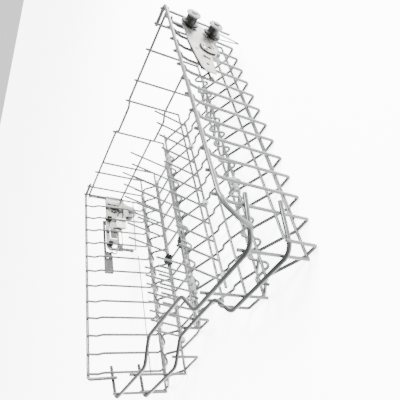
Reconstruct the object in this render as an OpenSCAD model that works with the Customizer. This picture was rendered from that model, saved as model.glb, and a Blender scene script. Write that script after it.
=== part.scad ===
// Upper dishwasher basket in coated steel wire: three fold-down tine rows, two height-adjuster
// carriages with paired rail rollers, and a stepped front.
// Millimetres. +Z up, +X the right-hand wall, -Y the pull-out front. The origin is under the middle
// of the basket, level with its lowest wires. Sizes below are drawn from the floor wires' centre
// plane and moved there by place().

/* [Basket] */
// Spacing of the cross wires along the basket
pitch = 36.5; // [30:0.5:42]
// Half width at the rim wire centre
rim_half = 252.5; // [230:0.5:262]
// Height of the rim wire centre
rim_z = 136; // [110:0.5:160]
// Front plane of the two heavy front wires
front_y = -255; // [-270:0.5:-240]
// How far the middle of the front steps back
front_step = 37; // [20:1:50]
// Height of the upper front wire
upper_z = 94.5; // [80:0.5:110]
// Height of the lower front wire
lower_z = 41.5; // [30:0.5:60]
// Plane of the rear uprights
rear_y = 231; // [215:0.5:245]

/* [Wire gauges] */
// Rim and front wires
heavy_d = 5.8; // [4:0.1:6.5]
// Cross wires, rails and uprights
wire_d = 4.4; // [2.5:0.1:5]
// Tines
tine_d = 4; // [2.5:0.1:4.5]
// Hinge rods of the tine rows
rod_d = 4.6; // [3:0.1:6]

/* [Fold-down tines] */
// Height of the right tines above their rod
right_tine_h = 66; // [50:1:75]
// Height of the short left tines above their rods
short_tine_h = 56; // [40:1:65]
// Height of the tall left tines above their rods
tall_tine_h = 83; // [70:1:90]

/* [Rollers and adjusters] */
// Roller inner flange radius
flange_r = 15; // [10:0.5:18]
// Roller running tread radius
tread_r = 9.5; // [6:0.5:12]
// Roller outer flange radius
outer_r = 12.5; // [10:0.5:16]
// Axle diameter
axle_d = 6; // [4:0.5:8]
// Radial running clearance between roller bore and axle
run_gap = 0.1; // [0.05:0.01:0.2]
// Outer plate plane, inside face, from the centre
plate_x = 256.5; // [254:0.5:260]
// Sheet thickness of plates and frames
sheet = 1.5; // [1:0.1:2.5]

/* [Hidden] */
$fn = 40;
count = 12;
bend_step = 34;
bottom_shift = -3.5;
corner_x = 236.5;
stub_x = rim_half - 4.7;
floor_foot = 213;
ridge_x = 165;
ridge_h = 26;
left_ridge_h = 21.3;
valley_x = 121;
valley_h = 1.7;
left_foot = 142;
flat_x = 78;
crown_x = 4;
crown_h = 31;
lift = (wire_d + wire_d) / 2 - 0.4;
rail_front = front_y + heavy_d / 2 + wire_d / 2 - 0.3;
recess_y = front_y + front_step;
twelve_y = -242;
rod_right = [60.5, 17.2];
rod_inner = [-60, 8.6];
rod_outer = [-119, 6.8];
clip_y = -28;
roller_up = [175.5, 103];
roller_down = [164.5, 64];
left_back = 44;
left_drop = 44;
frame_x = 244.4;
roller_in = 260.4;
roller_out = 278.6;

// ---- wire helpers: a bent wire is swept along its centre line ----
function unit(v) = v / norm(v);
function turn(u, v) = acos(min(1, max(-1, u * v)));

// one corner of a centre line, replaced by short steps round an arc of radius r
function corner(p, i, r, step) =
  let (u = unit(p[i] - p[i - 1]),
       v = unit(p[i + 1] - p[i]),
       t = turn(u, v),
       n = ceil(t / step))
  n < 2 ? [p[i]] :
  let (w = unit(v - (u * v) * u),
       c = p[i] - u * (r * tan(t / 2)) + w * r,
       q = r / cos(t / (2 * n)))
  [for (k = [0 : n - 1]) c + q * (sin((k + 0.5) * t / n) * u - cos((k + 0.5) * t / n) * w)];

function eased(p, r, step) =
  [for (i = [0 : len(p) - 1]) each (i == 0 || i == len(p) - 1) ? [p[i]] : corner(p, i, r, step)];

// the first ring, square to the first stretch
function first_ring(p, d, n) =
  let (u = unit(p[1] - p[0]),
       e = unit(abs(u[2]) < 0.9 ? cross(u, [0, 0, 1]) : cross(u, [0, 1, 0])),
       f = cross(u, e),
       r = d / 2 / sqrt(cos(180 / n)))
  [for (k = [0 : n - 1]) p[0] + r * (cos((k + 0.5) * 360 / n) * e + sin((k + 0.5) * 360 / n) * f)];

// each ring is the last one slid along its stretch to the mitre plane at the next point
function rings(p, i, ring) =
  i == len(p) ? [] :
  let (u = unit(p[i] - p[i - 1]),
       m = i == len(p) - 1 ? u : unit(u + unit(p[i + 1] - p[i])),
       next = [for (q = ring) q + u * (((p[i] - q) * m) / (u * m))])
  concat([next], rings(p, i + 1, next));

module wire(p, r, d, n = 8, step = bend_step) {
  q = eased(p, r, step);
  start = first_ring(q, d, n);
  all = concat([start], rings(q, 1, start));
  last = len(all) - 1;
  polyhedron(
    points = [for (ring = all) each ring],
    faces = concat(
      [[for (k = [0 : n - 1]) k]],
      [for (i = [0 : last - 1], k = [0 : n - 1])
        [(i + 1) * n + k, (i + 1) * n + (k + 1) % n, i * n + (k + 1) % n, i * n + k]],
      [[for (k = [0 : n - 1]) last * n + n - 1 - k]]));
}

// centre lines drawn in a plane x = const, y = const or z = const
function in_x(x, p) = [for (q = p) [x, q[0], q[1]]];
function in_y(y, p) = [for (q = p) [q[0], y, q[1]]];
function in_z(z, p) = [for (q = p) [q[0], q[1], z]];

module bar_y(x, z, y0, y1, d) { translate([x, y0, z]) rotate([-90, 0, 0]) cylinder(h = y1 - y0, d = d); }
module bar_z(x, y, z0, z1, d) { translate([x, y, z0]) cylinder(h = z1 - z0, d = d); }
module bar_x(y, z, x0, x1, d) { translate([x0, y, z]) rotate([0, 90, 0]) cylinder(h = x1 - x0, d = d); }
// origin under the middle of the basket, at the level of its lowest wires
module place() { translate([0, -(front_y + rear_y + 3) / 2, wire_d / 2]) children(); }
module flip(s) { mirror([s < 0 ? 1 : 0, 0, 0]) children(); }

function cross_y(i) = (count / 2 - 0.5 - i) * pitch + bottom_shift;

// ---- rim and front ----
// s is +1 for the right-hand wall and -1 for the left
function rim_rear(s) = [[s * rim_half, rear_y + 3, rim_z], [s * 211, rear_y + 3, rim_z]];

module rim_wire_right() {
  color("silver") place()
    wire(concat([for (q = in_x(rim_half, [[-237, 97], [-234, 114], [-222, 131], [-205, rim_z]]))
                 q - [max(0, (rim_z - 8 - q[2]) / 3.2), 0, 0]], rim_rear(1)), 8, heavy_d, 10);
}

module rim_wire_left() {
  color("silver") place()
    wire(concat([[-230, -218, 90], [-rim_half, -212, rim_z]], rim_rear(-1)), 6, heavy_d, 10);
}

function front_path(back, corner, wide, narrow) =
  [[-back[0], back[1]], [-corner, front_y], [-wide, front_y], [-narrow, recess_y],
   [narrow, recess_y], [wide, front_y], [corner, front_y], back];

module front_wire_upper() {
  color("silver") place()
    wire(in_z(upper_z, front_path([246.5, -191], 230, 89, 62)), 19, heavy_d, 10, 16);
}

module front_wire_lower() {
  color("silver") place()
    wire(in_z(lower_z, front_path([243.5, -189], 231, 92, 60)), 19, heavy_d, 10, 16);
}

// ---- cross wires: walls and floor ----
module wall_wires_right() {
  color("silver") place()
    for (i = [0 : count - 1])
      wire(in_y(cross_y(i), [[stub_x, rim_z + 5], [stub_x, 128], [243, 124], [240.5, 112],
           [corner_x + 0.4, 3]]), 4, wire_d);
}

module wall_wires_left() {
  color("silver") place()
    for (i = [0 : count - 1])
      wire(in_y(cross_y(i), [[-stub_x, rim_z + 4], [-stub_x - 1, 119], [-242.5, 109],
           [-corner_x - 0.4, 3]]), 4, wire_d);
}

module floor_wires() {
  color("silver") place()
    for (i = [0 : count - 1])
      wire(in_y(cross_y(i), [[corner_x + 0.5, 4.4], [corner_x, 0], [floor_foot, 0], [ridge_x, ridge_h],
           [valley_x, valley_h], [94, 10.5], [77, 13.5], [67.5, 9.3], [56, 12.5], [43, 16],
           [crown_x, crown_h], [-crown_x, crown_h], [-60, 3], [-flat_x, 0], [-left_foot, 0.5],
           [-ridge_x + 7, left_ridge_h], [-ridge_x - 4, left_ridge_h], [-floor_foot, 0], [-corner_x, 0],
           [-corner_x - 0.5, 4.4]]), 2.5, wire_d);
}

module front_cross_wire() {
  color("silver") place()
    for (s = [-1, 1])
      wire(in_y(twelve_y, [for (q = [[235, lower_z + 6], [corner_x - 3, 1], [floor_foot - 2, 1],
           [ridge_x - 3, s > 0 ? ridge_h : left_ridge_h], [s > 0 ? valley_x : left_foot - 4, 2], [82, 3.5],
           [82, lower_z + 8]]) [s * q[0], q[1]]]), 3, wire_d);
}

// ---- rails along the basket ----
module floor_rails() {
  color("silver") place() {
    for (s = [-1, 1]) {
      bar_y(s * 216.5, lift, rail_front, rear_y, wire_d);
      bar_y(s * 199.5, 11.2, -206, rear_y - 10, wire_d);
      bar_y(s * ridge_x, (s > 0 ? ridge_h : left_ridge_h) + lift, -250, rear_y, wire_d);
    }
    bar_y(125.5, valley_h + lift + 2.2, rail_front, rear_y, wire_d);
    bar_y(-132, lift, rail_front, rear_y, wire_d);
    bar_y(96.5, 9.5 + lift, -232, rear_y, wire_d);
    bar_y(46.5, 14.6 + lift, -211, rear_y, wire_d);
    bar_y(-38, 14.5 + lift, recess_y + 4, rear_y, wire_d);
    bar_y(0, crown_h + lift, -211, rear_y - 20, wire_d);
  }
}

module front_uprights() {
  color("silver") place() {
    for (s = [-1, 1]) {
      bar_z(s * 216.5, rail_front, lift - 1.2, upper_z + 9, wire_d);
      bar_z(s * (s > 0 ? 125.5 : 132), rail_front, lift - 1.2, upper_z + 9, wire_d);
    }
    wire([[-8, recess_y + 4, lower_z + 6], [-9, recess_y + 4, 14], [-38, recess_y + 4, 15],
          [-38, recess_y + 4, lower_z + 6]], 4, wire_d);
    wire([[46.5, -212.5, lower_z + 6], [46.5, -212.5, 16.5], [34, -212.5, 19]], 3, wire_d);
  }
}

module rear_uprights() {
  color("silver") place() {
    for (s = [-1, 1]) {
      bar_z(s * 216.5, rear_y, lift - 1.2, rim_z + 6, wire_d);
      bar_z(s * ridge_x, rear_y, (s > 0 ? ridge_h : left_ridge_h) + lift - 1.2, rim_z + 2, wire_d);
      bar_z(s * 245, rear_y, 3, rim_z + 6, wire_d);
    }
    bar_z(-132, rear_y, lift - 1.2, 128, wire_d);
    bar_z(-38, rear_y, 14.5 + lift - 1.2, rim_z, wire_d);
    bar_z(46.5, rear_y, 14.6 + lift - 1.2, rim_z, wire_d);
    bar_z(96.5, rear_y, 9.5 + lift - 1.2, rim_z, wire_d);
  }
}

module rear_rail_upper() {
  color("silver") place()
    wire(in_z(128.6, [[-250, rear_y + 3], [-38, rear_y + 3], [-24, rear_y - 13], [40, rear_y - 13],
         [50, rear_y + 3], [250, rear_y + 3]]), 5, wire_d);
}

module rear_rail_lower() {
  color("silver") place()
    wire(in_z(48, [[-244, rear_y + 3], [-40, rear_y + 3], [-26, rear_y - 15], [28, rear_y - 15],
         [42, rear_y + 3], [150, rear_y + 3]]), 5, wire_d);
}

// ---- wavy glass supports: tipped by `tip` about their rail, `n` peaks from y0, short legs at the ends ----
function wave_line(x, z, tip, y0, n, low, high) =
  [for (k = [-1 : 2 * n - 1])
   let (end = k < 0 || k == 2 * n - 1,
        h = end ? -1 : k % 2 == 0 ? high : low,
        y = y0 + k * pitch / 2 + (end ? (k < 0 ? 9 : -9) : 0))
   [x + h * sin(tip), y, z + h * cos(tip)]];

module glass_wave_right() {
  color("silver") place() wire(wave_line(ridge_x, ridge_h + 3.2, -37, -247, 13, -12, 19), 5.5, wire_d - 0.4);
}

module glass_wave_left() {
  color("silver") place() wire(wave_line(-ridge_x, left_ridge_h + 0.6, 42, -232, 12, -12, 18), 5.5, wire_d - 0.4);
}

module glass_wave_centre() {
  color("silver") place() wire(wave_line(3.4, crown_h + 3.2, -21, -176.5, 10, -9, 10.5), 5.5, wire_d - 0.4);
}

module side_stay_wires() {
  color("silver") place()
    for (s = [-1, 1]) bar_y(s * 235.6, 22, -208, 58, 2.2);
}

// ---- hinge rods, tines, clips ----
module rod_clip(p, y, w, fat, under) {
  difference() {
    union() {
      translate([p[0], y - w / 2, p[1]]) rotate([-90, 0, 0]) cylinder(h = w, r = rod_d / 2 + fat);
      translate([p[0] - 3.2, y - w / 2, p[1] - under]) cube([6.4, w, under]);
    }
    translate([p[0], y - w / 2 - 1, p[1]]) rotate([-90, 0, 0]) cylinder(h = w + 2, r = rod_d / 2 + 0.1);
  }
}

module clips_dark() {
  color("dimgray") place()
    for (p = [rod_inner, rod_outer]) {
      rod_clip(p, clip_y, 22, 2, p[1] - 2.4);
      translate([p[0] + 3.2, clip_y - 8, p[1] - 2]) rotate([28, 0, 0]) cube([2.4, 5, 15]);
    }
}

module clips_pale() {
  color("gainsboro") place() {
    for (p = [rod_inner, rod_outer], y = [-196, 186]) rod_clip(p, y, 8, 1.8, p[1] - 2.4);
    for (y = [cross_y(10) - 9, cross_y(6) - 9, cross_y(2) - 9]) rod_clip(rod_right, y, 8, 2, 5.2);
    for (y = [cross_y(10), cross_y(2)]) clip_block([0, crown_h + 3.4], y + 8, 30);
    clip_block([ridge_x - 2, ridge_h + 3.4], cross_y(8) + 10, 26);
  }
}

// a saddle that snaps over a fixed rail
module clip_block(p, y, w) {
  difference() {
    union() {
      translate([p[0], y - w / 2, p[1]]) rotate([-90, 0, 0]) cylinder(h = w, r = wire_d / 2 + 2.2);
      translate([p[0] - 5, y - w / 2 + 3, p[1]]) cube([10, w - 6, 5]);
    }
    translate([p[0], y - w / 2 - 1, p[1]]) rotate([-90, 0, 0]) cylinder(h = w + 2, r = wire_d / 2 + 0.05);
    translate([p[0] - 6, y - 1.5, p[1] + 3]) cube([12, 3, 3]);
  }
}

// round-tipped tine that leans back by `back` over its height
module tine(p, y, h, back) {
  translate([p[0], y, p[1]]) rotate([-atan2(back, h), 0, 0]) {
    cylinder(h = norm([h, back]) - tine_d / 2, d = tine_d);
    translate([0, 0, norm([h, back]) - tine_d / 2]) sphere(d = tine_d);
  }
}

module rod(p, y0, y1) { bar_y(p[0], p[1], y0, y1, rod_d); }

module right_rod() { color("silver") place() rod(rod_right, -198, 190); }
module inner_front_rod() { color("silver") place() rod(rod_inner, -202, clip_y - 2); }
module inner_rear_rod() { color("silver") place() rod(rod_inner, clip_y + 2, 192); }
module outer_front_rod() { color("silver") place() rod(rod_outer, -202, clip_y - 2); }
module outer_rear_rod() { color("silver") place() rod(rod_outer, clip_y + 2, 192); }

module right_tines() {
  color("silver") place()
    for (k = [-1 : 9]) tine(rod_right, -151 + k * pitch, right_tine_h, 23);
}

module inner_front_tines() {
  color("silver") place()
    for (k = [-1 : 5]) tine(rod_inner, -170 + k * pitch / 2, short_tine_h, 11);
}

module inner_rear_tines() {
  color("silver") place()
    for (k = [0 : 5]) tine(rod_inner, -6 + k * pitch, tall_tine_h, 26);
}

module outer_front_tines() {
  color("silver") place()
    for (k = [0 : 7]) tine(rod_outer, -190 + k * pitch / 2, short_tine_h, 11.5);
}

module outer_rear_tines() {
  color("silver") place()
    for (k = [0 : 5]) tine(rod_outer, -10 + k * pitch, tall_tine_h, 26);
}

// ---- height adjusters ----
module sheet_at(x, t) { translate([x, 0, 0]) rotate([90, 0, 90]) linear_extrude(t) children(); }

// slot between two centres
module pill(a, b, r) {
  hull() {
    translate(a) circle(r);
    translate(b) circle(r);
  }
}

module frame_right() {
  color("lightgray") place() {
    sheet_at(frame_x, sheet) difference() {
      polygon([[78, 72], [78, 86], [86, 92], [168, 92], [173, 90], [200, 90], [200, 58], [168, 56],
               [124, 56], [118, 72]]);
      translate([128, 64]) square([20, 14]);
      pill([184, 66], [184, 82], 4);
    }
    translate([frame_x, 86, 90.6]) cube([2.6, 82, 1.4]);
  }
}

module frame_left() {
  color("lightgray") place() flip(-1) {
    sheet_at(frame_x, sheet) difference() {
      polygon([[72, 54], [72, 86], [80, 92], [170, 92], [176, 90], [232, 90], [236.4, 86], [236.4, 46],
               [231, 43], [210, 43], [202, 50], [184, 48], [176, 41], [140, 41], [136, 52]]);
      translate([105, 66]) square([29, 17]);
      translate([86, 74]) circle(7);
      translate([146, 50]) square([14, 11]);
      pill([194, 60], [200, 76], 4.5);
      pill([224, 56], [224, 78], 4);
      pill([96, 58], [124, 58], 3);
    }
    translate([frame_x, 80, 90.6]) cube([2.6, 90, 1.4]);
    translate([frame_x, 176, 88.6]) cube([2.6, 55, 1.4]);
    translate([frame_x - 2.4, 106, 67]) cube([2.6, 27, 2]);
    translate([frame_x - 2.4, 106, 80]) cube([2.6, 27, 2]);
  }
}

// clips that hold the frame to the wall wires, and the strip that hooks up to the rim
module hook_clips(wires, strip_y, z) {
  for (i = wires)
    difference() {
      translate([236.4, cross_y(i) - 5, z]) cube([frame_x - 236.1, 10, 10]);
      translate([230, cross_y(i) - wire_d / 2, z - 1]) cube([12.4, wire_d, 12]);
    }
  translate([frame_x, strip_y, 88]) cube([sheet, 8, 41]);
  translate([frame_x, strip_y, 128]) cube([9, 8, sheet]);
}

module hook_clips_right() { color("lightgray") place() hook_clips([2, 3], 190, 76); }
module hook_clips_left() { color("lightgray") place() flip(-1) hook_clips([1, 3], 224, 78); }

module guide_pair(y, z, h) {
  for (s = [-1, 1]) translate([frame_x + 1.2, y + s * 23 - 3, z]) cube([7, 6, h]);
}

module guides_right() { color("lightgray") place() guide_pair(127, 58, 23.4); }

module guides_left() {
  color("whitesmoke") place() flip(-1) {
    guide_pair(198, 48, 38);
    difference() {
      translate([frame_x - 3, 140, 42]) cube([3.2, 28, 24]);
      translate([frame_x - 4, 146, 48]) cube([2.6, 14, 4]);
    }
  }
}

// wire loop below the outer plate
module guard_wire_right() {
  color("silver") place() wire(in_x(259, [[158, 55], [172, 1], [184, 58]]), 2, 2);
}

// wire hoop below the frame
module guard_wire_left() {
  color("silver") place()
    wire(in_x(-frame_x - 1.3, [[79, 58], [82, 22], [165, 19.5], [233, 17], [229, 50]]), 4, 2.4);
}

module slide_block(y, z, h) {
  difference() {
    translate([250.4, y - 19.4, z]) cube([plate_x - 250.2, 38.8, h]);
    for (k = [0 : 1]) translate([249, y - 6, z + 8 + k * 14]) cube([4, 12, 6]);
  }
}

module slider_right() { color("gray") place() slide_block(127, 58, 42); }
module slider_left() { color("gray") place() flip(-1) slide_block(198, 42, 30); }

module plate_right() {
  color("gainsboro") place() {
    sheet_at(plate_x, sheet) difference() {
      polygon([[39, 82], [39, 99], [42, 102.5], [48, 105.5], [76, 110], [106, 113.5], [121, 115],
               [170, 117], [186, 116], [193, 111], [195, 98], [190, 84], [183, 70], [181, 56],
               [172, 50], [158, 50], [150, 56], [144, 66], [128, 66], [112, 64], [96, 70], [90, 79]]);
      pill([80, 86], [83, 94], 2.4);
      translate([111, 80]) circle(9);
      translate([62, 92]) circle(2.5);
    }
    translate([plate_x - 3, 46, 103.4]) rotate([8.5, 0, 0]) cube([3.2, 58, 1.4]);
  }
}

module plate_left() {
  color("gainsboro") place() flip(-1) translate([0, left_back, -left_drop])
    sheet_at(plate_x, sheet) difference() {
      polygon([[126, 98], [126, 122], [132, 128], [190, 128], [195, 122], [195, 98], [190, 84], [183, 70],
               [181, 56], [172, 50], [158, 50], [150, 56], [147, 76], [134, 90]]);
      translate([140, 108]) circle(5);
    }
}

// round boss in the plate, open in the middle
module boss_right() {
  color("lightgray") place() translate([plate_x - 1.5, 111, 80]) rotate([0, 90, 0]) difference() {
    union() {
      cylinder(h = 4.6, r = 9);
      translate([0, 0, 3]) cylinder(h = 2.4, r = 14);
      translate([0, 0, 5.4]) cylinder(h = 1.8, r1 = 12, r2 = 10.5);
    }
    translate([0, 0, -1]) cylinder(h = 12, r = 4.5);
    translate([0, 0, 5.6]) cylinder(h = 6, r = 7.5);
  }
}

module axle_pair(dy, dz) {
  for (p = [roller_up, roller_down]) {
    y = p[0] + dy;
    z = p[1] + dz;
    bar_x(y, z, plate_x - 2, roller_out + 2.2, axle_d);
    bar_x(y, z, plate_x - 3.2, plate_x - 0.1, axle_d + 7);
    bar_x(y, z, plate_x + sheet - 0.1, roller_in - 0.3, axle_d + 5);
    bar_x(y, z, roller_out + 0.3, roller_out + 2.2, axle_d + 4);
  }
}

module axles_right() { color("gray") place() axle_pair(0, 0); }
module axles_left() { color("gray") place() flip(-1) axle_pair(left_back, -left_drop); }

module roller(p) {
  w = roller_out - roller_in;
  translate([roller_in, p[0], p[1]]) rotate([0, 90, 0]) rotate_extrude() polygon([
    [axle_d / 2 + run_gap, 0], [flange_r - 0.6, 0], [flange_r, 0.8], [flange_r, 2.2],
    [flange_r - 1, 2.8], [tread_r + 0.6, 3.6], [tread_r, 4.6], [tread_r, w - 4.6],
    [tread_r + 0.5, w - 3.6], [outer_r - 0.6, w - 3], [outer_r, w - 2.4], [outer_r, w - 0.8],
    [outer_r - 0.8, w], [axle_d / 2 + run_gap, w]]);
}

module roller_upper_right() { color("dimgray") place() roller(roller_up); }
module roller_lower_right() { color("dimgray") place() roller(roller_down); }
module roller_upper_left() { color("dimgray") place() flip(-1) roller(roller_up + [left_back, -left_drop]); }
module roller_lower_left() { color("dimgray") place() flip(-1) roller(roller_down + [left_back, -left_drop]); }

// ---- release levers ----
module lever_left() {
  color("gray") place() flip(-1) difference() {
    union() {
      translate([247.4, 54, 92.6]) cube([2.2, 104, 5]);
      translate([247.4, 152, 86]) rotate([0, 90, 0]) cylinder(h = 2.2, r = 6);
      translate([247.4, 146, 86]) cube([2.2, 12, 8]);
      translate([247.4, 57, 80]) cube([2.2, 12, 14]);
    }
    translate([246, 152, 86]) rotate([0, 90, 0]) cylinder(h = 5, r = 2.1);
  }
}

module grip_left() {
  color("darkgray") place() flip(-1) difference() {
    translate([245.6, 13, 79]) cube([5.8, 46, 18.6]);
    for (k = [0 : 9], x = [250.6, 244.4])
      translate([x, 16 + k * 3.2, 81]) cube([2, 1.4, 14.6]);
    translate([244, 50.5, 87]) cube([9, 5, 6]);
  }
}

module pawl_left() {
  color("dimgray") place() flip(-1) difference() {
    union() {
      translate([frame_x - 2.6, 77, 60]) rotate([0, 90, 0]) cylinder(h = 2.2, r = 5);
      translate([frame_x - 2.6, 73, 36]) cube([2.2, 7, 24]);
      translate([frame_x - 2.6, 76, 34]) rotate([0, 90, 0]) cylinder(h = 2.2, r = 5);
    }
    translate([frame_x - 3, 77, 60]) rotate([0, 90, 0]) cylinder(h = 4, r = 1.6);
  }
}

module lever_right() {
  color("dimgray") place() difference() {
    union() {
      translate([247.4, 40, 86]) cube([2.2, 112, 4]);
      translate([247.4, 36, 82]) cube([2.2, 8, 8]);
      translate([247.4, 152, 86]) rotate([0, 90, 0]) cylinder(h = 2.2, r = 4);
    }
    translate([246, 152, 86]) rotate([0, 90, 0]) cylinder(h = 5, r = 1.6);
  }
}

rim_wire_right();
rim_wire_left();
front_wire_upper();
front_wire_lower();
wall_wires_right();
wall_wires_left();
floor_wires();
front_cross_wire();
floor_rails();
front_uprights();
rear_uprights();
rear_rail_upper();
rear_rail_lower();
glass_wave_right();
glass_wave_left();
glass_wave_centre();
side_stay_wires();
clips_dark();
clips_pale();
right_rod();
right_tines();
inner_front_rod();
inner_front_tines();
inner_rear_rod();
inner_rear_tines();
outer_front_rod();
outer_front_tines();
outer_rear_rod();
outer_rear_tines();
frame_right();
frame_left();
hook_clips_right();
hook_clips_left();
guides_right();
guides_left();
guard_wire_right();
guard_wire_left();
plate_right();
plate_left();
boss_right();
axles_right();
axles_left();
slider_right();
slider_left();
lever_left();
grip_left();
pawl_left();
lever_right();
roller_upper_right();
roller_lower_right();
roller_upper_left();
roller_lower_left();
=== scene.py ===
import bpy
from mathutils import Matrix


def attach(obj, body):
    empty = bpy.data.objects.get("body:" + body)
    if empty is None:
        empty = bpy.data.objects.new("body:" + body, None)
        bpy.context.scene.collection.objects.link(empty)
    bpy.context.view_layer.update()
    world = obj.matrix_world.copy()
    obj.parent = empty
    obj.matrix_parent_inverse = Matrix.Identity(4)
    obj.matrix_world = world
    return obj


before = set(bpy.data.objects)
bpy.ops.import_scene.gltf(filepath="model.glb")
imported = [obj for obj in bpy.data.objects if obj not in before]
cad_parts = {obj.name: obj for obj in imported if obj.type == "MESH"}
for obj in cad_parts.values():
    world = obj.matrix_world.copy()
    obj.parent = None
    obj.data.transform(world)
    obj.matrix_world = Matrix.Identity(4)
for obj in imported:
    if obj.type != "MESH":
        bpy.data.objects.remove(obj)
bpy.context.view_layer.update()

import math

import bmesh
import bpy
from mathutils import Euler, Matrix, Vector

MM = 0.001

# the basket's grid in millimetres, and the step from the design's origin to the frame's
PITCH = 36.5
CROSS_WIRES = 12
CROSS_OFFSET = -3.5
SHIFT = Vector((0, 10.5, 2.2))
CROSS_Y = [(CROSS_WIRES / 2 - 0.5 - i) * PITCH + CROSS_OFFSET + SHIFT.y for i in range(CROSS_WIRES)]

# edge radii in metres
SHEET_EDGE = 0.0003
CLIP_EDGE = 0.0004
GUIDE_EDGE = 0.0005
GUARD_EDGE = 0.0006
WIRE_EDGE = 0.001
HEAVY_EDGE = 0.0015
SHARP_CORNER = math.radians(52)


# ---------- camera: rolled a quarter turn, so the basket is seen standing on its side ----------
LENS = 38.47
VIEWPOINT = Vector((0.52335, -0.48770, 0.35445))
VIEW_FORWARD = (-0.62799, 0.64006, -0.44266)
VIEW_UP = (0.64371, 0.74689, 0.16672)

cam_data = bpy.data.cameras.new("camera")
cam_data.sensor_width = 36
cam_data.lens = LENS
cam_data.clip_end = 400
cam = bpy.data.objects.new("camera", cam_data)
bpy.context.scene.collection.objects.link(cam)
forward = Vector(VIEW_FORWARD).normalized()
up = Vector(VIEW_UP)
up = (up - forward * up.dot(forward)).normalized()
right = forward.cross(up)
turn = Matrix((right, up, -forward)).transposed().to_4x4()
cam.matrix_world = Matrix.Translation(VIEWPOINT) @ turn
bpy.context.scene.camera = cam


# ---------- light ----------
LIT_POINT = (0, 0, 0.05)

world = bpy.data.worlds.new("studio")
bpy.context.scene.world = world
world.use_nodes = True
world.node_tree.nodes["Background"].inputs["Color"].default_value = (1, 1, 1, 1)
world.node_tree.nodes["Background"].inputs["Strength"].default_value = 1.2


def area(name, at, size, power):
    """A rectangular lamp of the given size and watts, aimed at the basket."""
    data = bpy.data.lights.new(name, "AREA")
    data.shape = "RECTANGLE"
    data.size, data.size_y = size
    data.energy = power
    lamp = bpy.data.objects.new(name, data)
    bpy.context.scene.collection.objects.link(lamp)
    lamp.location = at
    lamp.rotation_euler = (Vector(LIT_POINT) - Vector(at)).to_track_quat("-Z", "Y").to_euler()


area("key", (1.35, 0.70, 1.65), (0.9, 0.9), 300)
area("fill", (-1.6, -0.6, 1.3), (1.0, 1.0), 8)
area("rear", (0.2, 1.8, 1.4), (1.4, 0.6), 20)


# ---------- materials ----------
class Nodes:
    """Shorthand for building one material."""

    def __init__(self, name):
        self.material = bpy.data.materials.new(name)
        self.material.use_nodes = True
        self.tree = self.material.node_tree
        self.shader = self.tree.nodes["Principled BSDF"]
        self.coords = self.tree.nodes.new("ShaderNodeTexCoord").outputs["Object"]

    def link(self, a, b):
        self.tree.links.new(a, b)

    def stretched(self, scale):
        m = self.tree.nodes.new("ShaderNodeMapping")
        m.inputs["Scale"].default_value = scale
        self.link(self.coords, m.inputs["Vector"])
        return m.outputs["Vector"]

    def noise(self, scale, detail=3, rough=0.55, vector=None):
        n = self.tree.nodes.new("ShaderNodeTexNoise")
        n.inputs["Scale"].default_value = scale
        n.inputs["Detail"].default_value = detail
        n.inputs["Roughness"].default_value = rough
        self.link(vector or self.coords, n.inputs["Vector"])
        return n.outputs["Fac"]

    def ramp(self, value, stops):
        """Stops are (place, colour), where a colour may be one grey level."""
        r = self.tree.nodes.new("ShaderNodeValToRGB")
        while len(r.color_ramp.elements) < len(stops):
            r.color_ramp.elements.new(0.5)
        for e, (at, c) in zip(r.color_ramp.elements, stops):
            e.position = at
            e.color = (*c, 1) if isinstance(c, tuple) else (c, c, c, 1)
        self.link(value, r.inputs["Fac"])
        return r.outputs["Color"]

    def to_range(self, value, low, high, start=0.3, end=0.7):
        """Maps start..end to low..high."""
        m = self.tree.nodes.new("ShaderNodeMapRange")
        m.inputs["From Min"].default_value = start
        m.inputs["From Max"].default_value = end
        m.inputs["To Min"].default_value = low
        m.inputs["To Max"].default_value = high
        self.link(value, m.inputs["Value"])
        return m.outputs["Result"]

    def mix(self, factor, a, b, kind="MIX"):
        m = self.tree.nodes.new("ShaderNodeMix")
        m.data_type = "RGBA"
        m.blend_type = kind
        for socket, value in ((m.inputs[0], factor), (m.inputs[6], a), (m.inputs[7], b)):
            self.put(socket, value)
        return m.outputs[2]

    def bump(self, heights, distance):
        """Stacks bumps of (height, share), each at most distance metres deep."""
        normal = None
        for height, share in heights:
            b = self.tree.nodes.new("ShaderNodeBump")
            b.inputs["Strength"].default_value = share
            b.inputs["Distance"].default_value = distance
            self.link(height, b.inputs["Height"])
            if normal:
                self.link(normal, b.inputs["Normal"])
            normal = b.outputs["Normal"]
        self.link(normal, self.shader.inputs["Normal"])

    def put(self, socket, value):
        if isinstance(value, bpy.types.NodeSocket):
            self.link(value, socket)
        elif isinstance(value, tuple):
            socket.default_value = (*value, 1)
        else:
            socket.default_value = value

    def set(self, **values):
        for key, value in values.items():
            self.put(self.shader.inputs[key.replace("_", " ")], value)
        return self.material


def coated_wire(name, dark, light, worn):
    """Grey nylon coating: slight orange peel, tone drift, flecks and dull scale marks."""
    depth = (0.62, 0.62, 0.62)
    n = Nodes(name)
    tone = n.ramp(n.noise(14, 4), [(0.3, dark), (0.7, light)])
    flecks = n.ramp(n.noise(1400, 2, 0.7), [(0.40, 0.82), (0.62, 1.0)])
    tone = n.mix(0.35, tone, flecks, "MULTIPLY")
    marks = n.ramp(n.noise(95, 5, 0.7), [(0.60, 0.0), (0.69, 1.0)])
    tone = n.mix(n.to_range(marks, 0.0, 0.16, 0, 1), tone, worn)
    tone = n.mix(1.0, tone, depth, "MULTIPLY")
    peel = n.noise(900, 2)
    n.bump([(peel, 0.35), (n.noise(160, 3), 0.2)], 0.00012)
    rough = n.to_range(n.noise(60, 3), 0.26, 0.38)
    return n.set(Base_Color=tone, Metallic=0.2, Roughness=rough, Specular_IOR_Level=0.36,
                 Coat_Weight=0.2, Coat_Roughness=0.14)


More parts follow.
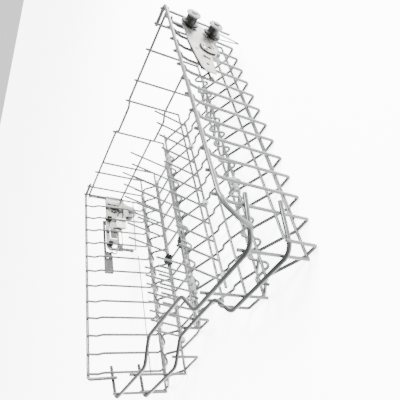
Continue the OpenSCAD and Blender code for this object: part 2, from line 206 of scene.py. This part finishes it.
def brushed_steel(name, dark, light, along, rough_low=0.2, rough_high=0.38):
    """Sheet brushed along one axis (0 x, 1 y, 2 z): fine lines, clouded tone, rubbed spots."""
    fingerprint = (0.42, 0.41, 0.39)
    n = Nodes(name)
    scale = tuple(14 if i == along else 1500 for i in range(3))
    lines = n.noise(1.0, 3, 0.6, n.stretched(scale))
    cloud = n.noise(22, 4)
    tone = n.ramp(cloud, [(0.28, dark), (0.72, light)])
    tone = n.mix(0.45, tone, n.ramp(lines, [(0.3, 0.66), (0.7, 1.0)]), "MULTIPLY")
    rubbed = n.ramp(n.noise(48, 5, 0.65), [(0.57, 0.0), (0.66, 1.0)])
    tone = n.mix(n.to_range(rubbed, 0.0, 0.25, 0, 1), tone, fingerprint)
    n.bump([(lines, 0.5), (n.noise(300, 2), 0.2)], 0.00008)
    rough = n.to_range(lines, rough_low, rough_high)
    return n.set(Base_Color=tone, Metallic=0.85, Roughness=rough, Anisotropic=0.4)


def moulded(name, dark, light, rough_low, rough_high, scuff, shine=0.55):
    """Moulded plastic: faint grain, flow marks, paler scuffs."""
    n = Nodes(name)
    tone = n.ramp(n.noise(35, 4), [(0.3, dark), (0.7, light)])
    scuffs = n.ramp(n.noise(170, 5, 0.75), [(0.58, 0.0), (0.68, 1.0)])
    tone = n.mix(n.to_range(scuffs, 0.0, 0.4, 0, 1), tone, scuff)
    n.bump([(n.noise(700, 2), 0.45), (n.noise(70, 3), 0.25)], 0.00015)
    rough = n.to_range(n.noise(90, 3), rough_low, rough_high)
    return n.set(Base_Color=tone, Roughness=rough, Specular_IOR_Level=shine)


def roller_plastic(name, side):
    """Near-black inner flange, dark hub, paler outer flange."""
    inner_end, outer_end = side * 0.2604, side * 0.2786
    scuff = (0.06, 0.06, 0.058)
    n = Nodes(name)
    split = n.tree.nodes.new("ShaderNodeSeparateXYZ")
    n.link(n.coords, split.inputs["Vector"])
    across = n.to_range(split.outputs["X"], 0, 1, inner_end, outer_end)
    body = n.ramp(across, [(0.0, 0.001), (0.26, 0.001), (0.34, 0.004), (0.70, 0.006),
                           (0.80, (0.07, 0.07, 0.069)), (1.0, (0.11, 0.11, 0.108))])
    tone = n.mix(0.5, body, n.ramp(n.noise(60, 4), [(0.3, 0.72), (0.7, 1.0)]), "MULTIPLY")
    rings = n.noise(1.0, 3, 0.6, n.stretched((900, 40, 40)))
    tone = n.mix(n.to_range(rings, 0.0, 0.08, 0.5, 0.75), tone, scuff)
    n.bump([(rings, 0.5), (n.noise(650, 2), 0.3)], 0.00012)
    rough = n.to_range(n.noise(110, 3), 0.22, 0.42)
    shine = n.to_range(across, 0.12, 0.5, 0.3, 0.9)
    return n.set(Base_Color=tone, Roughness=rough, Specular_IOR_Level=shine)


# coatings: name, dark and light tone, worn tone
wire_paint = coated_wire("wire_coating", (0.046, 0.050, 0.049), (0.068, 0.072, 0.071),
                         (0.13, 0.13, 0.128))
# a darker copy of the same coating: its darker tone is painted shade, on the front wires and the latch
# spring
shaded_paint = coated_wire("shaded_wire_coating", (0.016, 0.018, 0.018), (0.028, 0.030, 0.030),
                          (0.08, 0.08, 0.078))
# a paler copy of the same coating: its paler tone is painted light, on the left rim, the left wall and the
# tines
lit_paint = coated_wire("lit_wire_coating", (0.070, 0.075, 0.074), (0.095, 0.100, 0.099),
                         (0.15, 0.15, 0.148))
guard_paint = coated_wire("guard_wire_coating", (0.010, 0.011, 0.011), (0.018, 0.019, 0.019),
                          (0.05, 0.05, 0.05))

# steel: name, dark and light tone, axis of the brushing, roughness
plate_steel = brushed_steel("plate_steel", (0.135, 0.130, 0.118), (0.21, 0.202, 0.186), 1)
left_plate_steel = brushed_steel("left_plate_steel", (0.15, 0.147, 0.14), (0.26, 0.256, 0.245), 1)
frame_steel = brushed_steel("frame_steel", (0.07, 0.068, 0.064), (0.25, 0.245, 0.23), 1)
bracket_steel = brushed_steel("bracket_steel", (0.012, 0.012, 0.012), (0.04, 0.04, 0.04), 2,
                              0.25, 0.45)

# plastics: name, dark and light tone, roughness, scuff
# black plastic of the clips, also used for dark pieces of painted shade
dark_clip_and_shade = moulded("dark_clip_and_shade", (0.002, 0.002, 0.002), (0.005, 0.005, 0.005), 0.4, 0.6,
                    (0.012, 0.012, 0.012), shine=0.12)
grey_grip = moulded("grey_grip", (0.025, 0.025, 0.024), (0.045, 0.045, 0.044), 0.35, 0.55,
                    (0.09, 0.09, 0.088))
pale_clip = moulded("pale_clip", (0.13, 0.14, 0.145), (0.20, 0.21, 0.215), 0.3, 0.48,
                    (0.3, 0.3, 0.29))
guide_white = moulded("guide_white", (0.42, 0.44, 0.44), (0.55, 0.57, 0.57), 0.3, 0.45,
                      (0.6, 0.6, 0.59))
roller_right = roller_plastic("roller_right", 1)
roller_left = roller_plastic("roller_left", -1)


# ---------- CAD nodes: finish and rounded edges ----------
def smooth_group():
    """Drops the stored normals, then shades everything smooth except sharp corners."""
    g = bpy.data.node_groups.new("smooth_by_angle", "GeometryNodeTree")
    g.interface.new_socket("Geometry", in_out="INPUT", socket_type="NodeSocketGeometry")
    g.interface.new_socket("Geometry", in_out="OUTPUT", socket_type="NodeSocketGeometry")
    start = g.nodes.new("NodeGroupInput")
    end = g.nodes.new("NodeGroupOutput")
    drop = g.nodes.new("GeometryNodeRemoveAttribute")
    drop.inputs["Name"].default_value = "custom_normal"
    faces = g.nodes.new("GeometryNodeSetShadeSmooth")
    faces.inputs["Shade Smooth"].default_value = True
    angle = g.nodes.new("GeometryNodeInputMeshEdgeAngle")
    over = g.nodes.new("FunctionNodeCompare")
    over.operation = "GREATER_THAN"
    over.inputs["B"].default_value = SHARP_CORNER
    edges = g.nodes.new("GeometryNodeSetShadeSmooth")
    edges.domain = "EDGE"
    edges.inputs["Shade Smooth"].default_value = False
    link = g.links.new
    link(start.outputs[0], drop.inputs["Geometry"])
    link(drop.outputs[0], faces.inputs["Geometry"])
    link(faces.outputs[0], edges.inputs["Geometry"])
    link(angle.outputs["Unsigned Angle"], over.inputs["A"])
    link(over.outputs[0], edges.inputs["Selection"])
    link(edges.outputs[0], end.inputs[0])
    return g


SMOOTH = smooth_group()


def finish(obj, material, edge, segments=2):
    """Gives an object its material, joins its split points and rounds its edges."""
    obj.data.materials.clear()
    obj.data.materials.append(material)
    weld = obj.modifiers.new("join", "WELD")
    weld.merge_threshold = 0.000002
    bevel = obj.modifiers.new("round", "BEVEL")
    bevel.width = edge
    bevel.segments = segments
    bevel.limit_method = "ANGLE"
    bevel.angle_limit = SHARP_CORNER
    bevel.use_clamp_overlap = True
    shade = obj.modifiers.new("shade", "NODES")
    shade.node_group = SMOOTH


# the first row that fits a node's name decides: its start, its end, material, edge, steps
FINISHES = (
    ("roller_", "_right", roller_right, SHEET_EDGE, 2),
    ("roller_", "_left", roller_left, SHEET_EDGE, 2),
    # the front wires take the darker copy of the coating, painted shade
    ("front_wire_", "", shaded_paint, HEAVY_EDGE, 3),
    # the left rim, left wall and tines take the paler copy of the coating, painted light
    (("rim_wire_left", "wall_wires_left"), "", lit_paint, WIRE_EDGE, 3),
    ("", "_tines", lit_paint, WIRE_EDGE, 3),
    ("guard_wire_", "", guard_paint, GUARD_EDGE, 2),
    ("plate_left", "", left_plate_steel, SHEET_EDGE, 2),
    (("plate_right", "boss_right"), "", plate_steel, SHEET_EDGE, 2),
    (("frame_left", "frame_right"), "", frame_steel, SHEET_EDGE, 2),
    (("hook_clips_", "axles_", "lever_"), "", bracket_steel, SHEET_EDGE, 2),
    ("clips_dark", "", dark_clip_and_shade, CLIP_EDGE, 2),
    ("guides_left", "", guide_white, GUIDE_EDGE, 2),
    (("clips_pale", "guides_right"), "", pale_clip, GUIDE_EDGE, 2),
    (("grip_left", "slider_"), "", grey_grip, SHEET_EDGE, 2),
    ("", "", wire_paint, WIRE_EDGE, 3),
)

for name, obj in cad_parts.items():
    for start, end, material, edge, steps in FINISHES:
        if name.startswith(start) and name.endswith(end):
            finish(obj, material, edge, steps)
            break


# ---------- pieces made here ----------
def piece(name, bm, material, body, edge=0.0):
    mesh = bpy.data.meshes.new(name)
    bm.to_mesh(mesh)
    bm.free()
    mesh.materials.append(material)
    mesh.polygons.foreach_set("use_smooth", [True] * len(mesh.polygons))
    obj = bpy.data.objects.new(name, mesh)
    bpy.context.scene.collection.objects.link(obj)
    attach(obj, body)
    if edge:
        finish(obj, material, edge)


def block(bm, centre, size, turn=(0, 0, 0)):
    """A box in millimetres, turned about its own centre by degrees."""
    spin = Euler([math.radians(a) for a in turn]).to_matrix()
    for v in bmesh.ops.create_cube(bm, size=1.0)["verts"]:
        corner = Vector([v.co[i] * size[i] for i in range(3)])
        v.co = (Vector(centre) + SHIFT + spin @ corner) * MM


def strip(bm, x, points, thick, high):
    """Short boxes from point to point (y, z) in the plane x, each a little long to overlap."""
    for (y0, z0), (y1, z1) in zip(points, points[1:]):
        length = math.hypot(y1 - y0, z1 - z0) + high * 0.4
        slope = math.degrees(math.atan2(z1 - z0, y1 - y0))
        block(bm, (x, (y0 + y1) / 2, (z0 + z1) / 2), (thick, length, high), (slope, 0, 0))


def arc(centre, r, start, end, steps):
    """Points (y, z) on an arc, from start to end in degrees."""
    angles = [math.radians(start + (end - start) * i / steps) for i in range(steps + 1)]
    return [(centre[0] + r * math.cos(a), centre[1] + r * math.sin(a)) for a in angles]


def tube(bm, points, r, sides=10):
    """A round bar along points (x, y, z) in millimetres, closed at both ends."""
    path = [Vector(p) + SHIFT for p in points]
    rows = []
    for i, p in enumerate(path):
        along = (path[min(i + 1, len(path) - 1)] - path[max(i - 1, 0)]).normalized()
        helper = Vector((1, 0, 0)) if abs(along.x) < 0.9 else Vector((0, 0, 1))
        side = along.cross(helper).normalized()
        across = along.cross(side)
        angles = [2 * math.pi * k / sides for k in range(sides)]
        rows.append([bm.verts.new((p + side * r * math.cos(a) + across * r * math.sin(a)) * MM)
                     for a in angles])
    close(bm, rows)
    bm.faces.new(rows[0][::-1])
    bm.faces.new(rows[-1])


def close(bm, rows):
    """Skins between rings that have the same number of points."""
    for a, b in zip(rows, rows[1:]):
        for k in range(len(a)):
            j = (k + 1) % len(a)
            bm.faces.new((a[k], a[j], b[j], b[k]))


def lathe(bm, profile, centre, side, steps):
    """Turns points (along x, radius) about an X axis through centre (y, z)."""
    rows = []
    for x, r in profile:
        angles = [2 * math.pi * k / steps for k in range(steps)]
        rows.append([bm.verts.new((side * x * MM,
                                   (centre[0] + r * math.cos(a)) * MM,
                                   (centre[1] + r * math.sin(a)) * MM))
                     for a in angles])
    close(bm, rows)
    return rows


# ---------- weld beads where the wires cross ----------
RIM_X, RIM_Z = 249.8, 136
BEAD_UP = 2
BEAD_RADII = (2.6, 2.6, 1.9)
RIM_BEAD_RADII = (1.6, 2.7, 2.7)
# rails under the cross wires: (x, z)
FLOOR_RAILS = ((216.5, 0), (-216.5, 0), (165, 26), (-165, 21.3), (125.5, 3.2), (-132, 0),
               (96.5, 9.5), (46.5, 14.6), (-38, 14.5), (0, 31))


def weld_bead(bm, at, radii, seed):
    """A slightly lumpy ball of weld, at and radii in millimetres."""
    for v in bmesh.ops.create_icosphere(bm, subdivisions=2, radius=1.0)["verts"]:
        wave = 1 + 0.10 * math.sin(5 * v.co.x + seed) * math.cos(4 * v.co.y + 2 * seed)
        v.co = Vector([(at[i] + v.co[i] * radii[i] * wave) * MM for i in range(3)])


beads = bmesh.new()
for i, y in enumerate(CROSS_Y):
    for x, z in FLOOR_RAILS:
        weld_bead(beads, (x, y, z + BEAD_UP + SHIFT.z), BEAD_RADII, i + x)
piece("weld_beads_floor", beads, wire_paint, "basket")

beads = bmesh.new()
for i, y in enumerate(CROSS_Y):
    for side in (-1, 1):
        weld_bead(beads, (side * RIM_X, y, RIM_Z + SHIFT.z), RIM_BEAD_RADII, i + side)
piece("weld_beads_rim", beads, wire_paint, "basket")


# ---------- outer face of each roller: two raised rings and six waisted spokes ----------
HUB_FACE = 278.5
OUTER_RING = [(HUB_FACE, 11.6), (279.0, 11.2), (279.2, 10.4), (278.9, 9.7), (HUB_FACE, 9.5)]
INNER_RING = [(HUB_FACE, 6.9), (279.1, 6.6), (279.2, 6.1), (HUB_FACE, 5.7)]
SPOKES = 6
SPOKE_TURN = 12
# spoke: (distance from the axle, half width)
SPOKE_WIDTHS = ((6.2, 0.95), (7.4, 0.75), (8.6, 0.75), (10.2, 0.95))
UPPER_AXLE, LOWER_AXLE = (175.5, 103), (164.5, 64)
# the left carriage stands further back and lower than the right one
LEFT_STEP = (44, -44)


def spoke(bm, centre, side, degrees):
    a = math.radians(degrees)
    out = Vector((0, math.cos(a), math.sin(a)))
    across = Vector((0, -math.sin(a), math.cos(a)))
    rows = []
    for r, half in SPOKE_WIDTHS:
        section = ((HUB_FACE, -half), (278.95, -half * 0.8), (279.05, 0), (278.95, half * 0.8),
                   (HUB_FACE, half))
        rows.append([bm.verts.new(Vector((side * x * MM, centre[0] * MM, centre[1] * MM))
                                  + out * r * MM + across * w * MM) for x, w in section])
    for a, b in zip(rows, rows[1:]):
        for k in range(len(a) - 1):
            bm.faces.new((a[k], a[k + 1], b[k + 1], b[k]))


for name, side, step, plastic in (("right", 1, (0, 0), roller_right), ("left", -1, LEFT_STEP, roller_left)):
    for which, axle in (("upper", UPPER_AXLE), ("lower", LOWER_AXLE)):
        centre = (axle[0] + step[0] + SHIFT.y, axle[1] + step[1] + SHIFT.z)
        bm = bmesh.new()
        lathe(bm, OUTER_RING, centre, side, 40)
        lathe(bm, INNER_RING, centre, side, 32)
        for k in range(SPOKES):
            spoke(bm, centre, side, 360 // SPOKES * k + SPOKE_TURN)
        bmesh.ops.recalc_face_normals(bm, faces=bm.faces)
        piece(f"hub_spokes_{which}_{name}", bm, plastic, f"wheel_{which}_{name}")


# ---------- rivets on the outer face of each plate ----------
PLATE_FACE = 258.0


def rivets(name, side, body, places):
    """Domed heads at places (y, z, radius)."""
    bm = bmesh.new()
    for y, z, r in places:
        dome = [(PLATE_FACE - 0.3, r * 1.02), (PLATE_FACE + 0.1, r), (PLATE_FACE + 0.5, r * 0.86),
                (PLATE_FACE + 0.8, r * 0.55), (PLATE_FACE + 0.92, r * 0.2)]
        rows = lathe(bm, dome, (y + SHIFT.y, z + SHIFT.z), side, 24)
        bm.faces.new(rows[-1])
    bmesh.ops.recalc_face_normals(bm, faces=bm.faces)
    piece(name, bm, bracket_steel, body)


rivets("rivets_right", 1, "carriage_right",
       ((62, 92, 2.9), (148, 105, 3.0), (186, 107, 2.6), (100, 104, 2.2)))
rivets("rivets_left", -1, "carriage_left", ((180, 78, 2.6), (228, 78, 2.6)))


# ---------- dark jaws of the two clips that part the front and rear tine rows ----------
CLIP_Y = -28
CLIPS_XZ = ((-119, 6.8), (-53, 6.0))

bm = bmesh.new()
for x, z in CLIPS_XZ:
    block(bm, (x + 5, CLIP_Y, z + 6), (6, 3.4, 8.5))
    block(bm, (x + 12, CLIP_Y, z + 10.5), (13, 4, 3.2), (0, 16, 0))
    block(bm, (x + 11, CLIP_Y, z + 4), (11, 4, 2.6), (0, 16, 0))
    block(bm, (x - 4.5, CLIP_Y, z + 6.5), (5, 7, 8), (0, -28, 0))
piece("rod_clip_jaws", bm, dark_clip_and_shade, "basket", CLIP_EDGE)


# ---------- right carriage: painted shade as dark pieces: a strip along the plate's top edge, an arc round its boss, a pin in its slot ---
SHADE_STRIP_X = 257.3
BOSS = (111, 80)

bm = bmesh.new()
# a dark strip standing in for the shadow of the gap along the plate's top edge
strip(bm, SHADE_STRIP_X, [(42, 102.6), (48, 106.3), (76, 111), (106, 114.6), (118, 116)], 2.6, 2.4)
# a dark arc standing in for the shadow of the boss on the plate
strip(bm, 259.0, arc(BOSS, 15.3, 62, 212, 14), 1.8, 2.2)
# a dark pin standing in for the shade inside the slot
block(bm, (257.4, 81.5, 90), (2.0, 2.6, 7.6), (-20, 0, 0))
block(bm, (257.6, 86.5, 92.5), (1.4, 1.4, 5.0), (-20, 0, 0))
piece("painted_shade_right", bm, dark_clip_and_shade, "carriage_right", SHEET_EDGE)


# ---------- left frame: block in its window, spring of the latch, stamped rings, dark strips of painted shade ---
TEETH = 5
TOOTH_STEP = 4.8
RING_X = -243.2
STRIP_X = -243.6
STRIP_THICK = 1.4
COIL_TURNS = 2
COIL_STEPS = 24
COIL_WIRE = 1.0


def ring(centre, r, steps):
    """Points of an open ring in the plane RING_X, one step short of closing."""
    angles = [2 * math.pi * i / steps for i in range(steps - 1)]
    return [(RING_X, centre[0] + r * math.cos(a), centre[1] + r * math.sin(a)) for a in angles]


def coil_point(i):
    a = math.radians(360 // COIL_STEPS * i)
    return (-242.2 - 1.9 * i / COIL_STEPS, 69 + 6.2 * math.cos(a), 75 + 6.2 * math.sin(a))


bm = bmesh.new()
block(bm, (-243.4, 119.5, 74.5), (1.8, 27, 11))
for k in range(TEETH):
    block(bm, (-242.3, 110 + k * TOOTH_STEP, 74.5), (0.9, 1.3, 9))
piece("detent_block_left", bm, grey_grip, "basket", SHEET_EDGE)

bm = bmesh.new()
coil = [coil_point(i) for i in range(COIL_TURNS * COIL_STEPS + 1)]
tube(bm, coil + [(-246.0, 77, 70), (-246.0, 78.5, 56)], COIL_WIRE)
tube(bm, ring((191.8, 68.8), 6.4, 28), 1.0)
tube(bm, ring((193, 50), 3.6, 20), 0.9)
# the spring and rings take the darker copy of the coating, painted shade
piece("springs_left", bm, shaded_paint, "basket")

# dark strips of painted shade: they stand in for shade lines on the left frame
bm = bmesh.new()
for points, high in (
        ([(211, 85), (209, 77), (208.4, 66), (208.8, 57)], 2.0),
        ([(176, 61.5), (184, 58.5), (190, 54)], 2.4),
        ([(170, 49.5), (180, 48), (199, 47.5)], 1.6),
        ([(136.5, 73), (137, 62), (134.5, 55)], 2.6),
        ([(140, 84), (152, 83.4), (170, 83.6)], 1.3),
        (arc((196, 72), 9.6, 150, 235, 6), 1.5)):
    strip(bm, STRIP_X, points, STRIP_THICK, high)
piece("painted_shade_left", bm, dark_clip_and_shade, "basket", 0.0002)


# ---------- floor ----------
FLOOR_HALF = 180
FLOOR_GLOW = 6.5

bm = bmesh.new()
bmesh.ops.create_grid(bm, x_segments=8, y_segments=8, size=FLOOR_HALF)
mesh = bpy.data.meshes.new("floor")
bm.to_mesh(mesh)
bm.free()
floor = bpy.data.objects.new("floor", mesh)
bpy.context.scene.collection.objects.link(floor)
n = Nodes("floor_paper")
n.bump([(n.noise(350, 2), 0.1)], 0.0002)
paper = n.ramp(n.noise(3, 2), [(0.3, 0.90), (0.7, 0.92)])
mesh.materials.append(n.set(Base_Color=paper, Roughness=0.9, Specular_IOR_Level=0.1,
                            Emission_Color=(1, 1, 1), Emission_Strength=FLOOR_GLOW))
